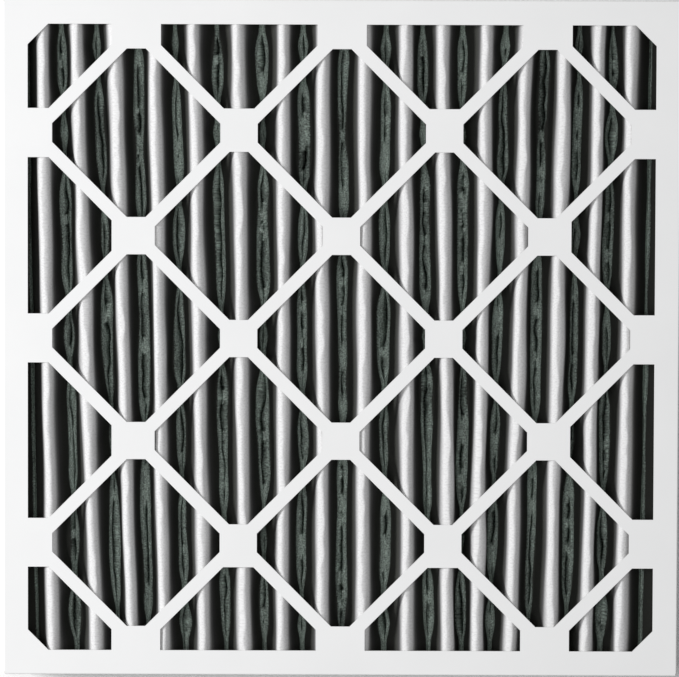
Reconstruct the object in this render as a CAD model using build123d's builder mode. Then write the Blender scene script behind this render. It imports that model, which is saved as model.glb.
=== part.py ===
from build123d import *
import math
import os

# Pleated panel air filter for an air handler or furnace.
#
# Two trays of die-cut, folded board nest into each other and hold a pack of pleated
# non-woven media between their diamond lattices. Each fold of the media is creased along
# its middle and has a sloping shoulder on both sides. A light wire grid backs the media
# on the air-leaving side, and adhesive closes the pack against the four walls.
#
# The filter lies on its air-leaving face: X runs across the pleats, Y along them, and
# Z through the filter, with the origin in the middle of the face that it lies on.
# Everything is in millimetres.

# Overall size
width = 495.3
height = 495.3
depth = 44.5

# Board of the frame
board = 0.7  # thickness
fold_radius = 1.0  # outside of a fold
border = 18.0  # rim of the face, outside the open field
corner_cut = 15.0  # sloped corners of the open field
tab_length = 30.0  # corner tab, glued inside the next wall
glue = 0.1  # film of glue under a tab or a seal
nest_gap = 0.2  # between the walls of the two trays
wall_setback = 1.0  # a tray's walls stop this far short of the other tray's face

# Diamond lattice cut into both faces
diamonds_across = 3
diamonds_up = 3
strap = 9.6  # width of a sloping strap
crossing_pad = 27.3  # square pad where straps cross
border_post = 35.9  # where a strap runs into the rim
edge_margin = 4.2  # from the middle of a half diamond to the rim

# Pleated media
pleat_pitch = 28.45
media_thickness = 2.0
shoulder = 4.0  # half the width of a fold, at the middle of the sheet
shoulder_slope = 30  # degrees
crest_gap = 0.3  # under the front lattice
tail_rise = 33.0  # height of the sheet's two free ends

# The folds aren't quite even or parallel. Each wave is its size, its turn from one
# pleat to the next and its start, in radians. The lean is at the edge of the open field.
drift_waves = ((4.7, 0.44, 0.47), (1.16, 1.58, -1.43))
lean_waves = ((1.8, 0.94, 3.0), (1.35, 1.42, 1.5), (1.0, 2.22, -0.8))
lean_all = -0.9
lean_spread = 0.72  # more for each pleat away from the middle

# Wire grid behind the media
wire = 1.0
weld = 0.2  # how far crossing wires sink into each other
wire_pitch = 75.0  # between the wires that follow the pleats
grid_gap = 0.3  # between the grid and the media
floor_gap = 0.1  # between the grid and the rear lattice

# Adhesive
seal_thickness = 1.2  # at the ends of the pleats
bead_radius = 3.0  # along the free ends of the sheet

# Places that follow from these sizes
field_x = width - 2 * border
field_y = height - 2 * border
pitch_x = (field_x - 2 * edge_margin) / diamonds_across
pitch_y = (field_y - 2 * edge_margin) / diamonds_up

rear_x = width / 2 - board - nest_gap  # outside of the rear tray
rear_y = height / 2 - 2 * board - glue - nest_gap
clear_x = rear_x - board  # room inside the rear tray
clear_y = rear_y - board
tab_face = clear_y - glue - board  # inside of the rear tray's tabs
pack_y = tab_face - glue - seal_thickness  # ends of the pleats

pleats = int(field_x / pleat_pitch)
folds = 2 * pleats + 1  # valleys are even, crests are odd
shoulder_rise = shoulder * math.tan(math.radians(shoulder_slope))
steeper = 1 / math.cos(math.radians(shoulder_slope))  # thickness, measured upright at a crease
grid_floor = board + floor_gap
wire_face = media_thickness / 2 + grid_gap  # from the middle of the sheet
valley_z = grid_floor + wire - weld + (wire_face + wire) * steeper
crest_z = depth - board - crest_gap - media_thickness / 2 * steeper
tail_x = clear_x - bead_radius - glue - media_thickness / 2


def waves(terms, place):
    """The sum of a few waves, at a place counted in pleats from the middle."""
    return sum(size * math.sin(turn * place + start) for size, turn, start in terms)


def fold_x(fold, y):
    """Where a fold line lies across the filter, at a place along the pleats."""
    place = (fold - pleats) / 2
    middle = pleat_pitch * place + waves(drift_waves, place)
    lean = lean_all + lean_spread * place + waves(lean_waves, place)
    return middle + lean * y / (field_y / 2)


def pleat_line(y):
    """The middle of the folded sheet in one cut across the pleats, from left to right.

    A fold has three corners, its crease and a shoulder on each side."""
    points = [Vector(-tail_x, tail_rise)]
    for fold in range(folds):
        x = fold_x(fold, y)
        crease = crest_z if fold % 2 else valley_z
        side = crease - shoulder_rise if fold % 2 else crease + shoulder_rise
        points += [Vector(x - shoulder, side), Vector(x, crease), Vector(x + shoulder, side)]
    return points + [Vector(tail_x, tail_rise)]


def moved_over(line, distance):
    """The same zigzag line at a distance above it, or below it where that is negative."""
    steps = [(b - a).normalized() for a, b in zip(line, line[1:])]
    above = [Vector(-step.Y, step.X) for step in steps]
    points = []
    for point, before, after in zip(line, above[:1] + above, above + above[-1:]):
        corner = (before + after).normalized()
        points.append(point + corner * (distance / corner.dot(after)))
    return points


def between(line, near, far):
    """The closed outline between two lines moved over from one line."""
    return Polyline(*moved_over(line, near), *reversed(moved_over(line, far)), close=True)


# ---------------------------------------------------------------- lattice windows

half_x = pitch_x / 2
half_y = pitch_y / 2
kept = 1 - strap / 2 * math.hypot(half_x, half_y) / (half_x * half_y)
tips = [(half_x * kept, 0), (0, half_y * kept), (-half_x * kept, 0), (0, -half_y * kept)]

with BuildSketch() as inner_window:
    Polygon(*tips)
    Rectangle(pitch_x - crossing_pad, pitch_y - crossing_pad, mode=Mode.INTERSECT)

with BuildSketch() as border_window:
    Polygon(*tips)
    Rectangle(pitch_x - border_post, pitch_y - border_post, mode=Mode.INTERSECT)

with BuildSketch() as open_field:
    Rectangle(field_x, field_y)
    chamfer(open_field.vertices(), corner_cut)

with BuildSketch() as windows:
    with GridLocations(pitch_x, pitch_y, diamonds_across + 1, diamonds_up + 1):
        add(border_window.sketch)
    with GridLocations(pitch_x, pitch_y, diamonds_across, diamonds_up):
        add(inner_window.sketch)
    with GridLocations(pitch_x, pitch_y, diamonds_across - 1, diamonds_up - 1):
        add(inner_window.sketch)
    add(open_field.sketch, mode=Mode.INTERSECT)

# ---------------------------------------------------------------- the two trays


def wall_section(plane, reach, face, edge):
    """A wall and the fold that joins it to the face, on both sides of the middle."""
    inward = 1 if edge > face else -1
    turn = face + inward * fold_radius
    with BuildSketch(plane) as section:
        with BuildLine():
            CenterArc((reach - fold_radius, turn), fold_radius, 0, -90 * inward)
            CenterArc((reach - fold_radius, turn), fold_radius - board, 0, -90 * inward)
            Line((reach - fold_radius, face), (reach - fold_radius, face + inward * board))
            Polyline((reach, turn), (reach, edge), (reach - board, edge), (reach - board, turn))
        make_face()
        mirror(about=Plane.YZ)
    return section.sketch


def folded_tray(reach_x, reach_y, face, edge):
    """A die-cut face with four folded walls. face and edge are the heights of the
    outside of the face and of the ends of the walls."""
    inward = 1 if edge > face else -1
    tab_y = reach_y - board - glue
    with BuildPart() as tray:
        with BuildSketch(Plane.XY.offset(face)) as lattice:
            Rectangle(2 * (reach_x - fold_radius), 2 * (reach_y - fold_radius))
            add(windows.sketch, mode=Mode.SUBTRACT)
        extrude(amount=inward * board)
        # upper and lower walls
        extrude(wall_section(Plane.YZ, reach_y, face, edge), reach_x - fold_radius, both=True)
        # side walls, which end in tabs inside the upper and lower walls
        extrude(wall_section(Plane.XZ, reach_x, face, edge), tab_y - fold_radius, both=True)
        with BuildSketch(Plane.XY.offset(face + inward * fold_radius)) as sides:
            RectangleRounded(2 * reach_x, 2 * tab_y, fold_radius)
            RectangleRounded(
                2 * (reach_x - board),
                2 * (tab_y - board),
                fold_radius - board,
                mode=Mode.SUBTRACT,
            )
            Rectangle(2 * (reach_x - tab_length), 2 * reach_y, mode=Mode.SUBTRACT)
        extrude(amount=edge - face - inward * fold_radius)
    return tray


front_frame = folded_tray(width / 2, height / 2, depth, wall_setback)
front_frame.part.label = "front_frame"

rear_frame = folded_tray(rear_x, rear_y, 0, depth - board - wall_setback)
rear_frame.part.label = "rear_frame"

# ---------------------------------------------------------------- pleated media

with BuildPart() as pleated_media:
    for end in (-pack_y, pack_y):
        with BuildSketch(Plane.XZ.offset(-end)):
            with BuildLine():
                between(pleat_line(end), media_thickness / 2, -media_thickness / 2)
            make_face()
    loft(ruled=True)
pleated_media.part.label = "pleated_media"

# ---------------------------------------------------------------- support grid

wires_up = int(2 * pack_y / wire_pitch)

with BuildPart() as support_grid:
    # wires that follow the pleats
    for number in range(wires_up):
        y = (number - (wires_up - 1) / 2) * wire_pitch
        with BuildSketch(Plane.XZ.offset(-y)):
            with BuildLine():
                between(pleat_line(y)[1:-1], -wire_face, -wire_face - wire)
            make_face()
    extrude(amount=wire / 2, both=True)
    # straight wires along the back of each valley
    with BuildSketch(Plane.XY.offset(grid_floor)):
        for fold in range(0, folds, 2):
            low, high = fold_x(fold, -pack_y), fold_x(fold, pack_y)
            with BuildLine():
                Polyline(
                    (low - wire / 2, -pack_y),
                    (low + wire / 2, -pack_y),
                    (high + wire / 2, pack_y),
                    (high - wire / 2, pack_y),
                    close=True,
                )
            make_face()
    extrude(amount=wire)
support_grid.part.label = "support_grid"

# ---------------------------------------------------------------- adhesive


def end_seal(side):
    """The layer that closes the ends of the pleats. side is 1 for the upper one."""
    with BuildPart() as seal:
        with BuildSketch(Plane.XY.offset(fold_radius)):
            with Locations((0, side * (pack_y + seal_thickness / 2))):
                Rectangle(2 * (clear_x - glue), seal_thickness)
            with Locations((0, side * (pack_y + clear_y) / 2)):
                Rectangle(2 * (rear_x - tab_length - glue), clear_y - pack_y)
        extrude(amount=depth - 2 * fold_radius)
    return seal


def side_bead(side):
    """The bead that holds a free end of the sheet to the wall. side is 1 for the right."""
    with BuildPart() as bead:
        with BuildSketch(Plane.XZ):
            with Locations((side * clear_x, tail_rise)):
                Circle(bead_radius)
            with Locations((side * (clear_x - bead_radius / 2), tail_rise)):
                Rectangle(bead_radius, 2 * bead_radius, mode=Mode.INTERSECT)
        extrude(amount=pack_y, both=True)
    return bead


upper_seal = end_seal(1)
upper_seal.part.label = "upper_seal"

lower_seal = end_seal(-1)
lower_seal.part.label = "lower_seal"

left_seal = side_bead(-1)
left_seal.part.label = "left_seal"

right_seal = side_bead(1)
right_seal.part.label = "right_seal"

# ---------------------------------------------------------------- files

pieces = (
    front_frame,
    rear_frame,
    pleated_media,
    support_grid,
    upper_seal,
    lower_seal,
    left_seal,
    right_seal,
)
os.makedirs("parts", exist_ok=True)
for piece in pieces:
    export_step(piece.part, f"parts/{piece.part.label}.step")
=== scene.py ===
# %% [markdown]
# # A pleated panel air filter
#
# The filter is a folded sheet of fibre in a white board frame. The frame's two trays come
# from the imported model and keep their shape, and get their finish here. The folded sheet
# and the wire grid behind it are made again with the small unevenness of the real ones.
# Everything is in metres. The filter lies on its back, with X across the pleats and Y along them.

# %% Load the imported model
import bpy
import bmesh
import math
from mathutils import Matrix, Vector, noise


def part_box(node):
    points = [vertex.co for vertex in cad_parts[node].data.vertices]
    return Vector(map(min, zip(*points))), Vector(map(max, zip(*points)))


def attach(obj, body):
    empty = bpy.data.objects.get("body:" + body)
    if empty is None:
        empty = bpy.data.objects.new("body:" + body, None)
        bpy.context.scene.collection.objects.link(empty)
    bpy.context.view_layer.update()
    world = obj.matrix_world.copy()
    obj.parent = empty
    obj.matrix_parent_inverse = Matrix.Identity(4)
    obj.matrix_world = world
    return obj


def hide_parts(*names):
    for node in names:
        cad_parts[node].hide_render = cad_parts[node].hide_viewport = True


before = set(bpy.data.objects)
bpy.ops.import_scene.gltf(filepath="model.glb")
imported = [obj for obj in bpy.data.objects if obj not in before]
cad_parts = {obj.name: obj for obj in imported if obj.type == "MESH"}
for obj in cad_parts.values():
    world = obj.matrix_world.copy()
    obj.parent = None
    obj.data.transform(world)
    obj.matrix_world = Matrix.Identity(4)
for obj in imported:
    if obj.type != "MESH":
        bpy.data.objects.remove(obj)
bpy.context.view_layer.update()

# %% [markdown]
# ## Sizes
#
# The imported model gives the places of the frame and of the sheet, so nothing here has to be
# measured twice. Further down, the shape of a pleat is set by a few values: how thick the
# sheet is, how tightly it turns, and how its fold lines drift and lean across the panel.

# %% Sizes that the pieces share
MM = 0.001
sheet_low, sheet_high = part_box("pleated_media")
frame_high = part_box("front_frame")[1]
TOP = frame_high[2]
HALF = frame_high[0]
print("frame", [round(v / MM, 1) for v in frame_high], "sheet", [round(v / MM, 1) for v in sheet_high])

# %% [markdown]
# ## The camera
#
# The filter is seen nearly square on, from so far away that the valleys shift only a little
# towards the middle. The camera stands a little towards the upper edge, which makes that edge
# look slightly wider than the lower one. Its lens follows from the distance, so the distance
# can change and the filter keeps its size in the picture.

# %% Camera
PICTURE = (679, 677)  # pixels
DISTANCE = 2.8  # metres
TIPPED = math.radians(2.8)  # towards the upper edge
TURNED = math.radians(0.19)  # about the vertical
SCALE = 0.7327 * MM  # metres a pixel on the front face
SENSOR = 36.0  # millimetres
AIM = (-2.3 * SCALE, 0.4 * SCALE)  # what the middle of the picture looks at


def make_camera():
    data = bpy.data.cameras.new("camera")
    data.sensor_width = SENSOR
    data.lens = SENSOR * DISTANCE / (PICTURE[0] * SCALE)
    camera = bpy.data.objects.new("camera", data)
    away = Vector((0, math.sin(TIPPED), math.cos(TIPPED)))
    target = Vector((AIM[0], AIM[1], TOP))
    camera.location = target + away * DISTANCE
    camera.rotation_euler = (-TIPPED, 0, TURNED)
    bpy.context.scene.collection.objects.link(camera)
    bpy.context.scene.camera = camera
    return camera


camera = make_camera()
print("lens", round(camera.data.lens, 1), "mm")

# %% [markdown]
# ## Floor and light
#
# One large soft lamp stands low to the left. It makes one side of every crest brighter than
# the other, which is what shows a fold's shape from straight above. A weaker lamp overhead
# reaches into the valleys, and an even sky fills the shadows.

# %% Floor
FLOOR_SIZE = 3.0
FLOOR_GAP = 0.5 * MM


def make_floor():
    bm = bmesh.new()
    bmesh.ops.create_grid(bm, x_segments=1, y_segments=1, size=FLOOR_SIZE)
    bmesh.ops.translate(bm, verts=bm.verts, vec=(0, 0, -FLOOR_GAP))
    mesh = bpy.data.meshes.new("floor")
    bm.to_mesh(mesh)
    bm.free()
    floor = bpy.data.objects.new("floor", mesh)
    bpy.context.scene.collection.objects.link(floor)
    material = bpy.data.materials.new("pale_floor")
    material.use_nodes = True
    shader = material.node_tree.nodes["Principled BSDF"]
    shader.inputs["Base Color"].default_value = (0.9, 0.9, 0.9, 1)
    shader.inputs["Roughness"].default_value = 0.9
    mesh.materials.append(material)
    return floor


make_floor()

# %% Lamps
SKY = 0.20  # brightness of the sky all round
KEY = 0.78  # about how bright this lamp alone would make a white surface that faces it
OVERHEAD = 0.30  # the same for the lamp overhead


def make_lamp(name, level, distance, size, height_deg, turn_deg):
    """A round lamp aimed at the filter. turn_deg is from +X, and height_deg above the floor."""
    data = bpy.data.lights.new(name, "AREA")
    data.shape = "DISK"
    data.size = size
    data.energy = level * math.pi**2 * distance**2
    up, turn = math.radians(height_deg), math.radians(turn_deg)
    away = Vector((math.cos(up) * math.cos(turn), math.cos(up) * math.sin(turn), math.sin(up)))
    lamp = bpy.data.objects.new(name, data)
    lamp.location = away * distance
    lamp.rotation_euler = (-away).to_track_quat("-Z", "Y").to_euler()
    bpy.context.scene.collection.objects.link(lamp)


make_lamp("key", KEY, distance=3.0, size=0.8, height_deg=37, turn_deg=172)
make_lamp("overhead", OVERHEAD, distance=2.6, size=1.2, height_deg=82, turn_deg=180)
world = bpy.data.worlds.new("sky")
world.use_nodes = True
world.node_tree.nodes["Background"].inputs["Color"].default_value = (1, 1, 1, 1)
world.node_tree.nodes["Background"].inputs["Strength"].default_value = SKY
bpy.context.scene.world = world
bpy.context.scene.view_settings.view_transform = "Standard"

# %% [markdown]
# ## Building materials from nodes
#
# Each finish is a small graph of nodes. A few short helpers keep them readable: they start a
# material, add a node and set its inputs, add a colour ramp, mix two colours, do a sum and
# add a bump.

# %% Node helpers


def new_material(name):
    material = bpy.data.materials.new(name)
    material.use_nodes = True
    return material, material.node_tree, material.node_tree.nodes["Principled BSDF"]


def add(tree, kind, inputs=None, **settings):
    node = tree.nodes.new(kind)
    for name, value in settings.items():
        setattr(node, name, value)
    for key, value in (inputs or {}).items():
        if isinstance(value, bpy.types.NodeSocket):
            tree.links.new(value, node.inputs[key])
        else:
            node.inputs[key].default_value = value
    return node


def ramp(tree, factor, stops):
    node = add(tree, "ShaderNodeValToRGB", {"Fac": factor})
    elements = node.color_ramp.elements
    while len(elements) < len(stops):
        elements.new(1)
    for element, (place, colour) in zip(elements, stops):
        element.position = place
        element.color = (*colour, 1)
    return node.outputs["Color"]


MIX_INPUTS = (0, 6, 7)  # the factor and the two colours of a Mix node
MIX_RESULT = 2


def mix(tree, factor, first, second, blend="MIX"):
    node = add(tree, "ShaderNodeMix", data_type="RGBA", blend_type=blend)
    for socket, value in zip(MIX_INPUTS, (factor, first, second)):
        if isinstance(value, bpy.types.NodeSocket):
            tree.links.new(value, node.inputs[socket])
        else:
            node.inputs[socket].default_value = value
    return node.outputs[MIX_RESULT]


def compute(tree, operation, *values):
    node = add(tree, "ShaderNodeMath", dict(enumerate(values)), operation=operation)
    return node.outputs[0]


def bump(tree, shader, height, strength, distance):
    node = add(tree, "ShaderNodeBump", {"Height": height, "Strength": strength, "Distance": distance})
    tree.links.new(node.outputs["Normal"], shader.inputs["Normal"])


# %% [markdown]
# ## Coated board
#
# The frame is white clay-coated board. It is very smooth and matt, with a faint mottle from
# the pulp underneath. Only the outside of a tray is coated. The inner side and the cut edges
# are bare pulp, which is warmer and greyer. One material can do both, because a point shows
# its coating when it lies on the top, on the bottom or on a side of the whole filter.

# %% Coated board
OUTER_SKIN = 0.3 * MM  # how far below the outer faces the coating still shows


def outer_mask(tree, place):
    """1 on the outer faces of the filter and 0 inside it, from the place of a point."""
    axes = add(tree, "ShaderNodeSeparateXYZ", {"Vector": place}).outputs
    far_x, far_y = compute(tree, "ABSOLUTE", axes["X"]), compute(tree, "ABSOLUTE", axes["Y"])
    side = compute(tree, "MAXIMUM", far_x, far_y)
    level = compute(tree, "ABSOLUTE", compute(tree, "SUBTRACT", axes["Z"], TOP / 2))
    on_side = compute(tree, "GREATER_THAN", side, HALF - OUTER_SKIN)
    on_face = compute(tree, "GREATER_THAN", level, TOP / 2 - OUTER_SKIN)
    return compute(tree, "MAXIMUM", on_side, on_face)


def make_board():
    material, tree, shader = new_material("coated_board")
    place = add(tree, "ShaderNodeTexCoord").outputs["Object"]
    pulp = add(tree, "ShaderNodeTexNoise", {"Vector": place, "Scale": 160, "Detail": 5}).outputs["Fac"]
    mottle = add(tree, "ShaderNodeTexNoise", {"Vector": place, "Scale": 22, "Detail": 3}).outputs["Fac"]
    specks = add(tree, "ShaderNodeTexNoise", {"Vector": place, "Scale": 900, "Detail": 3}).outputs["Fac"]
    coating = ramp(tree, mottle, [(0.3, (0.865, 0.868, 0.872)), (0.7, (0.885, 0.887, 0.89))])
    bare = ramp(tree, specks, [(0.3, (0.60, 0.585, 0.55)), (0.7, (0.70, 0.685, 0.65))])
    colour = mix(tree, outer_mask(tree, place), bare, coating)
    tree.links.new(colour, shader.inputs["Base Color"])
    shader.inputs["Roughness"].default_value = 0.55
    shader.inputs["Specular IOR Level"].default_value = 0.25
    bump(tree, shader, pulp, 0.12, 0.0002)
    return material


def dress(nodes, material):
    """Give every slot of these CAD nodes one material."""
    for name in nodes:
        for material_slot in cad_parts[name].material_slots:
            material_slot.material = material
    print(material.name, "on", ", ".join(nodes))


dress(("front_frame", "rear_frame"), make_board())

# %% [markdown]
# ## Hot-melt glue
#
# The ends of the pleats stand in a bed of hot-melt glue, and a bead of it closes each side. It
# is a cream wax-like plastic that sets slightly glossy, with slow swells where it was laid.

# %% Hot-melt glue


def make_glue():
    material, tree, shader = new_material("hot_melt")
    place = add(tree, "ShaderNodeTexCoord").outputs["Object"]
    swells = add(tree, "ShaderNodeTexNoise", {"Vector": place, "Scale": 60, "Detail": 2}).outputs["Fac"]
    cream = ramp(tree, swells, [(0.3, (0.66, 0.57, 0.38)), (0.7, (0.78, 0.70, 0.50))])
    tree.links.new(cream, shader.inputs["Base Color"])
    shader.inputs["Roughness"].default_value = 0.38
    bump(tree, shader, swells, 0.4, 0.001)
    return material


dress(("upper_seal", "lower_seal", "left_seal", "right_seal"), make_glue())

# %% [markdown]
# ## The folded sheet
#
# The sheet is made as the pleating machine makes it: a flat grid is folded, row by row. A
# cloth simulation could fold it too, but a pressed crease keeps its shape, so the folds are
# worked out instead. Every fold has a crease along its middle and a sloping facet on both
# sides, which is why a crest looks two-toned from above. The fold lines drift and lean as in
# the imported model, and here they also waver by a millimetre or two, as soft fibre does between
# the blades of the machine.

# %% Fold lines
PLEATS = 16
FOLDS = 2 * PLEATS + 1  # valleys are even, crests are odd
PITCH = 28.45 * MM
THICK = 2.0 * MM
CREST_HALF = 3.6 * MM  # half the width of a crest, at the middle of the sheet
VALLEY_HALF = 5.2 * MM
END_HALF = 1.3 * MM  # and of the narrow valleys at the two ends
SLOPE = math.radians(30)  # of the facets beside a crease
FIELD = 459.3 * MM / 2  # half of the open field
DRIFT = ((4.7, 0.44, 0.47), (1.16, 1.58, -1.43))  # waves: size in mm, turn a pleat, start
LEAN = ((1.8, 0.94, 3.0), (1.35, 1.42, 1.5), (1.0, 2.22, -0.8))
LEAN_ALL = -0.9  # mm that every fold line leans from its middle to its upper end
LEAN_SPREAD = 0.72  # and how much more it leans with each pleat to the right
CREST_Z = sheet_high[2] - THICK / 2 / math.cos(SLOPE)  # height of the middle line's creases
VALLEY_Z = sheet_low[2] + THICK / 2 / math.cos(SLOPE)
TAIL = Vector((sheet_high[0] - THICK / 2, 33.0 * MM))  # where the right end tail stops
LINE_APART, LINE_LIFT = 7.31, 0.37  # steps in the noise from one line to the next


def waves(terms, place):
    return sum(size * math.sin(turn * place + start) for size, turn, start in terms) * MM


def waver(line, y, length):
    """A slow wander of one line along the pleats, from about -1 to 1."""
    return 2 * noise.noise(Vector((LINE_APART * line, y / length, LINE_LIFT * line)))


def fold_x(fold, y):
    place = (fold - PLEATS) / 2
    middle = PITCH * place + waves(DRIFT, place)
    lean = (LEAN_ALL + LEAN_SPREAD * place) * MM + waves(LEAN, place)
    return middle + lean * y / FIELD


print("crests from", round(fold_x(1, 0) / MM, 1), "to", round(fold_x(FOLDS - 2, 0) / MM, 1), "mm")

# %% [markdown]
# A fold has three corners: a shoulder, the crease and the other shoulder. A corner is rounded
# by a short curve that starts and ends on its two sides. A crease turns tightly and a
# shoulder turns wide. The valleys lie on the straps of the rear tray, and a strap draws a
# valley together, so its floor is wide in the middle of a window and narrow at the straps.

# %% One cut across the pleats
CREASE_ROUND = 0.3 * MM
SHOULDER_ROUND = 2.6 * MM
ROUND_SHARE = 0.7  # the most of a side that one rounding may take
CREASE_STEPS = 1
CREST_STEPS = 3  # a crest is seen from close by, so its shoulders are the smoothest
VALLEY_STEPS = 2
END_SHIFT = 3.0 * MM  # the last valley stands under the border of the frame
STRAP_PITCH = 150.3 * MM  # from one strap to the next, along the pleats
STRAP_REACH = 8.0 * MM  # from the middle of a strap to where a valley starts to open
OPENING_RUN = 18.0 * MM  # how far a valley takes to open
PINCHED = 0.45  # the part of its width that a valley keeps on a strap

# What wanders along a fold: how far, over what length in metres, and which line of the noise,
# counted from the fold's own, so that no two wander alike.
FOLD_WANDER = (0.5 * MM, 0.11, 0)
WIDTH_WANDER = (0.15, 0.09, 200)  # as a share of the width
CREASE_WANDERS = ((0.26, 0.04, 40), (0.2, 0.013, 90))
SHOULDER_WANDERS = {-1: (0.22, 0.06, 40), 1: (0.22, 0.06, 120)}  # the left and the right one


def openness(x, y):
    """How open a valley lies: PINCHED on a strap and 1 well inside a window."""
    to_straps = [abs((x + side * y) / STRAP_PITCH % 1 - 0.5) * STRAP_PITCH for side in (-1, 1)]
    room = min(*to_straps, FIELD + STRAP_REACH / 2 - abs(y))
    t = min(max((room - STRAP_REACH) / OPENING_RUN, 0), 1)
    return PINCHED + (1 - PINCHED) * t * (2 - t)


def wandered(kind, fold, y):
    size, length, line = kind
    return size * waver(fold + line, y, length)


def corners_at(y):
    """The corners of the sheet's middle line, each with the reach and steps of its rounding."""
    corners = []
    for fold in range(FOLDS):
        x = fold_x(fold, y) + wandered(FOLD_WANDER, fold, y)
        if fold == FOLDS - 1:
            x += END_SHIFT
        up = 1 if fold % 2 else -1
        steps = CREST_STEPS if up > 0 else VALLEY_STEPS
        half = CREST_HALF if up > 0 else VALLEY_HALF * openness(x, y)
        half *= 1 + wandered(WIDTH_WANDER, fold, y)
        if fold in (0, FOLDS - 1):
            half = END_HALF
        wander = sum(wandered(kind, fold, y) for kind in CREASE_WANDERS)
        crease = Vector((x + wander * half, CREST_Z if up > 0 else VALLEY_Z))
        for side in (-1, 1):
            reach = half * (1 + wandered(SHOULDER_WANDERS[side], fold, y))
            drop = reach * math.tan(SLOPE)
            shoulder = Vector((x + side * reach, crease.y - up * drop))
            corners.append((shoulder, SHOULDER_ROUND, steps))
            if side < 0:
                corners.append((crease, CREASE_ROUND, CREASE_STEPS))
    return corners


def rounded(before, corner, after, reach, steps):
    reach = min(reach, ROUND_SHARE * (before - corner).length, ROUND_SHARE * (after - corner).length)
    start = corner + (before - corner).normalized() * reach
    end = corner + (after - corner).normalized() * reach
    for n in range(steps + 1):
        t = n / steps
        yield start.lerp(corner, t).lerp(corner.lerp(end, t), t)


def cut_across(y):
    """The middle line of the sheet at one place along the pleats."""
    line = [(Vector((-TAIL.x, TAIL.y)), 0, 0), *corners_at(y), (TAIL, 0, 0)]
    points = [line[0][0]]
    for before, here, after in zip(line, line[1:], line[2:]):
        points += rounded(before[0], here[0], after[0], here[1], here[2])
    return points + [line[-1][0]]


middle_cut = cut_across(0)
COLUMNS = len(middle_cut) - 1

# %% [markdown]
# The grid's vertices are then moved onto the cuts. Three layers of values go with them: how
# deep each point lies and whether its flank faces left, which the painted shade in the fibre's
# colour follows, and its place on the flat sheet, which the fibre's grain follows. A Solidify
# modifier gives the sheet its thickness.

# %% Fold a flat grid
ROWS = 160


def lengths_along(cut):
    """How far each point of a cut lies from its start, on the flat sheet."""
    lengths = [0.0]
    for a, b in zip(cut, cut[1:]):
        lengths.append(lengths[-1] + (b - a).length)
    return lengths


def fold_sheet():
    low, high = sheet_low[1], sheet_high[1]
    bm = bmesh.new()
    bmesh.ops.create_grid(bm, x_segments=COLUMNS, y_segments=ROWS, size=0.5)
    depth = bm.verts.layers.float.new("depth")
    faces_left = bm.verts.layers.float.new("faces_left")
    flat = bm.loops.layers.uv.new("flat")
    cuts = [cut_across(low + (high - low) * row / ROWS) for row in range(ROWS + 1)]
    lengths = lengths_along(cuts[ROWS // 2])
    places = {v: (round((v.co.x + 0.5) * COLUMNS), round((v.co.y + 0.5) * ROWS)) for v in bm.verts}
    for vert, (column, row) in places.items():
        point = cuts[row][column]
        vert.co = (point.x, low + (high - low) * row / ROWS, point.y)
        vert[depth] = (CREST_Z - point.y) / (CREST_Z - VALLEY_Z)
        before, after = cuts[row][max(column - 1, 0)], cuts[row][min(column + 1, COLUMNS)]
        vert[faces_left] = 1.0 if after.y > before.y else 0.0
    for face in bm.faces:
        face.smooth = True
        for loop in face.loops:
            loop[flat].uv = (lengths[places[loop.vert][0]], loop.vert.co.y)
    bmesh.ops.recalc_face_normals(bm, faces=bm.faces)
    if sum(face.normal.z * face.calc_area() for face in bm.faces) < 0:
        bmesh.ops.reverse_faces(bm, faces=bm.faces)
    mesh = bpy.data.meshes.new("folded_sheet")
    bm.to_mesh(mesh)
    bm.free()
    sheet = bpy.data.objects.new("folded_sheet", mesh)
    bpy.context.scene.collection.objects.link(sheet)
    wall = sheet.modifiers.new("thickness", "SOLIDIFY")
    wall.thickness = THICK
    wall.offset = 0
    wall.material_offset = 1  # the back has the second material
    return sheet


sheet = fold_sheet()
print("folded sheet", len(sheet.data.polygons), "faces")

# %% [markdown]
# ## Filter fibre
#
# The fibre is pale and smooth on the crests. Down the flanks its colour is painted shade,
# nearly black, for the deep gaps between the pleats, and the bottom of each valley is painted
# a darker green-grey as shade too, where streaks and specks of fibre show and the crease is a
# broken dark line of painted shade. The painted shade starts sooner on the flanks that face
# left, towards the lamp that would light them. All of this follows the folds, so the colour is
# read from the depth of a point: two ramps give the crest and the floor, and a slow noise makes
# the floor wider and narrower. The back uses the same graph with the depth turned over.

# %% Fibre material
# Painted shade: the flanks are painted nearly black for the deep gaps between the pleats, and on flanks
# that face the lamp on the left the painted shade starts sooner.
LEFT_PAINTED_SHADE = 0.9  # how much sooner the pale part ends on a flank that faces left
WHITE = (1, 1, 1)
PALE = (0.815, 0.815, 0.82)
PAINTED_FLANK_SHADE = (0.062, 0.064, 0.058)


def crest_and_painted_flank_shade(tree, depth, faces_left, lint):
    fall = compute(tree, "MULTIPLY_ADD", compute(tree, "MULTIPLY", faces_left, LEFT_PAINTED_SHADE), depth, depth)
    # Painted shade: below the pale crest this ramp darkens the colour with depth, down to nearly black.
    crest = ramp(tree, fall, [
        (0.00, PALE),
        (0.07, PALE),
        (0.13, (0.50, 0.50, 0.505)),
        (0.22, (0.20, 0.20, 0.20)),
        (0.36, (0.09, 0.09, 0.09)),
        (0.60, PAINTED_FLANK_SHADE),
    ])
    soft = ramp(tree, lint, [(0.36, (0.80, 0.80, 0.80)), (0.56, WHITE)])
    return mix(tree, 1.0, crest, soft, "MULTIPLY")


def centred(tree, noise_value, middle, size, base):
    """base, moved by a noise that swings about its middle."""
    return compute(tree, "MULTIPLY_ADD", compute(tree, "SUBTRACT", noise_value, middle), size, base)


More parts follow.
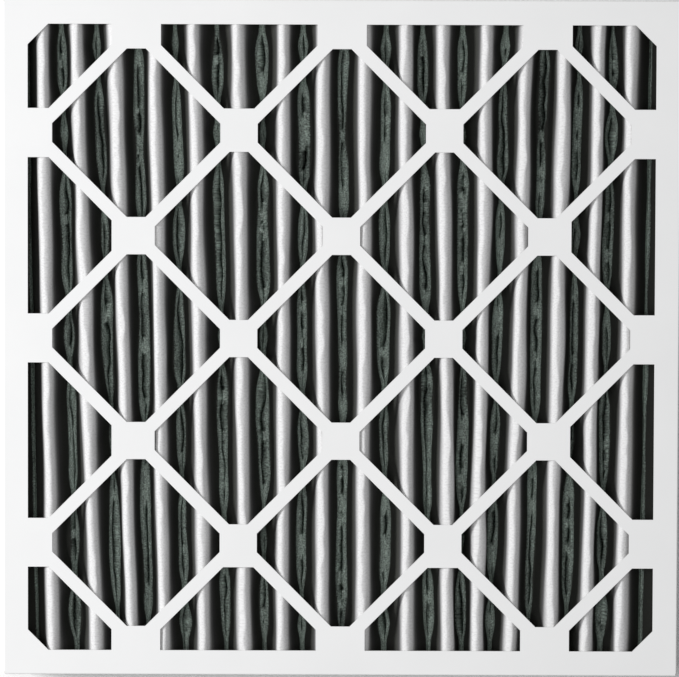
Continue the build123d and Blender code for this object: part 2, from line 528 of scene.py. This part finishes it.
def floor_painted_shade_and_grain(tree, depth, streaks, lint, swell):
    level = centred(tree, lint, 0.5, 0.08, centred(tree, swell, 0.5, 0.2, depth))
    # Painted shade: the floor is a darker green-grey than the crest, for the shade deep in a valley.
    floor = ramp(tree, level, [
        (0.905, (0, 0, 0)),
        (0.930, (0.50, 0.61, 0.55)),
        (0.985, (0.68, 0.82, 0.74)),
    ])
    # Painted shade: the crease at the bottom of a valley is darkened into a broken line; the streaks and
    # specks after it are fibre grain.
    crease = ramp(tree, centred(tree, streaks, 0.55, 0.14, depth), [(0.984, WHITE), (1.0, (0.7, 0.7, 0.7))])
    dark_streaks = ramp(tree, streaks, [(0.38, (0.5, 0.5, 0.5)), (0.60, WHITE)])
    dark_specks = ramp(tree, lint, [(0.42, (0.35, 0.35, 0.35)), (0.58, WHITE)])
    for shade in (crease, mix(tree, 1.0, dark_streaks, dark_specks, "MULTIPLY")):
        floor = mix(tree, 1.0, floor, shade, "MULTIPLY")
    return floor


def make_fibre(name, flip):
    material, tree, shader = new_material(name)
    depth = add(tree, "ShaderNodeAttribute", attribute_name="depth").outputs["Fac"]
    faces_left = add(tree, "ShaderNodeAttribute", attribute_name="faces_left").outputs["Fac"]
    if flip:
        depth = compute(tree, "SUBTRACT", 1.0, depth)
    flat = add(tree, "ShaderNodeUVMap", uv_map="flat").outputs["UV"]
    along = add(tree, "ShaderNodeMapping", {"Vector": flat, "Scale": (1, 0.2, 1)}).outputs["Vector"]
    slow = add(tree, "ShaderNodeMapping", {"Vector": flat, "Scale": (1, 0.45, 1)}).outputs["Vector"]
    streaks = add(
        tree, "ShaderNodeTexNoise", {"Vector": along, "Scale": 620, "Detail": 4, "Distortion": 1.2}
    ).outputs["Fac"]
    lint = add(
        tree, "ShaderNodeTexNoise", {"Vector": flat, "Scale": 780, "Detail": 5, "Roughness": 0.75}
    ).outputs["Fac"]
    swell = add(tree, "ShaderNodeTexNoise", {"Vector": slow, "Scale": 38, "Detail": 1}).outputs["Fac"]
    crest = crest_and_painted_flank_shade(tree, depth, faces_left, lint)
    floor = floor_painted_shade_and_grain(tree, depth, streaks, lint, swell)
    tree.links.new(mix(tree, 1.0, crest, floor, "ADD"), shader.inputs["Base Color"])
    shader.inputs["Roughness"].default_value = 0.95
    shader.inputs["Specular IOR Level"].default_value = 0.1
    bump(tree, shader, lint, 0.4, 0.0005)
    print("material", name, "with", len(tree.nodes), "nodes")
    return material


sheet.data.materials.append(make_fibre("fibre_front", False))
sheet.data.materials.append(make_fibre("fibre_back", True))
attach(sheet, "root")
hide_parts("pleated_media")

# %% [markdown]
# ## The wire grid
#
# A welded grid of galvanised wire backs the sheet and is folded with it. One set of wires
# follows every pleat, and the other runs along the pleats, welded on the outside of the first.
# A wire is a polyline with a round bevel, which is far quicker to make than a swept mesh. The
# curve is turned into a mesh at the end.

# %% Wires
WIRE = 1.0 * MM
WELD = 0.2 * MM  # how deep two wires sink into each other where they cross
GRID_GAP = 0.3 * MM  # from the sheet to the nearer wires
WIRE_PITCH = 25.0 * MM
ACROSS_COUNT = 18
ALONG_STEPS = 14
CORNERS = 3  # of a fold: a shoulder, the crease and the other shoulder
FLANK_PLACE = 0.66  # how far up a flank its own wire runs


def moved(line, distance):
    """The same zigzag line at a distance to its left."""
    points = []
    for before, here, after in zip([None, *line], line, [*line[1:], None]):
        sides = [
            Vector((-step.y, step.x)).normalized()
            for step in (here - before if before else None, after - here if after else None)
            if step
        ]
        middle = sum(sides, Vector((0, 0))).normalized()
        points.append(here + middle * distance / middle.dot(sides[0]))
    return points


def back_line(y, distance):
    return moved([corner[0] for corner in corners_at(y)], -distance)


def add_wire(curve, points):
    spline = curve.splines.new("POLY")
    spline.points.add(len(points) - 1)
    for target, point in zip(spline.points, points):
        target.co = (*point, 1)


def add_wires_across(curve, distance):
    for n in range(ACROSS_COUNT):
        y = (n - (ACROSS_COUNT - 1) / 2) * WIRE_PITCH
        add_wire(curve, [(p.x, y, p.y) for p in back_line(y, distance)])


def add_wires_along(curve, distance):
    """One wire under every valley and one on every flank."""
    low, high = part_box("support_grid")[0][1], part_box("support_grid")[1][1]
    ys = [low + (high - low) * n / ALONG_STEPS for n in range(ALONG_STEPS + 1)]
    lines = [back_line(y, distance) for y in ys]
    for fold in range(FOLDS):
        crease, shoulder = CORNERS * fold + 1, CORNERS * fold + 2
        if fold % 2 == 0:
            add_wire(curve, [(line[crease].x, y, line[crease].y) for y, line in zip(ys, lines)])
        if fold < FOLDS - 1:
            place = FLANK_PLACE if fold % 2 == 0 else 1 - FLANK_PLACE
            flanks = [line[shoulder].lerp(line[shoulder + 1], place) for line in lines]
            add_wire(curve, [(p.x, y, p.y) for y, p in zip(ys, flanks)])


def make_grid():
    curve = bpy.data.curves.new("wires", "CURVE")
    curve.dimensions = "3D"
    curve.bevel_depth = WIRE / 2
    curve.bevel_resolution = 1
    curve.use_fill_caps = True
    near = THICK / 2 + GRID_GAP + WIRE / 2
    add_wires_across(curve, near)
    add_wires_along(curve, near + WIRE - WELD)
    print("wires", len(curve.splines))
    drawn = bpy.data.objects.new("wires", curve)
    bpy.context.scene.collection.objects.link(drawn)
    mesh = bpy.data.meshes.new_from_object(drawn.evaluated_get(bpy.context.evaluated_depsgraph_get()))
    bpy.data.objects.remove(drawn)
    grid = bpy.data.objects.new("wire_grid", mesh)
    bpy.context.scene.collection.objects.link(grid)
    return grid


grid = make_grid()
print("wire grid", len(grid.data.polygons), "faces")

# %% [markdown]
# Galvanised wire is dull grey with a fine spangle, so its roughness varies more than its colour.

# %% Galvanised wire


def make_zinc():
    material, tree, shader = new_material("galvanised_wire")
    place = add(tree, "ShaderNodeTexCoord").outputs["Object"]
    spangle = add(tree, "ShaderNodeTexVoronoi", {"Vector": place, "Scale": 700}).outputs["Distance"]
    grey = ramp(tree, spangle, [(0.0, (0.50, 0.51, 0.52)), (0.8, (0.66, 0.67, 0.68))])
    tree.links.new(grey, shader.inputs["Base Color"])
    rough = add(tree, "ShaderNodeMapRange", {"Value": spangle, "To Min": 0.32, "To Max": 0.55}).outputs[0]
    tree.links.new(rough, shader.inputs["Roughness"])
    shader.inputs["Metallic"].default_value = 1.0
    print("material", material.name, "with", len(tree.nodes), "nodes")
    return material


grid.data.materials.clear()
grid.data.materials.append(make_zinc())
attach(grid, "root")
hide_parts("support_grid")
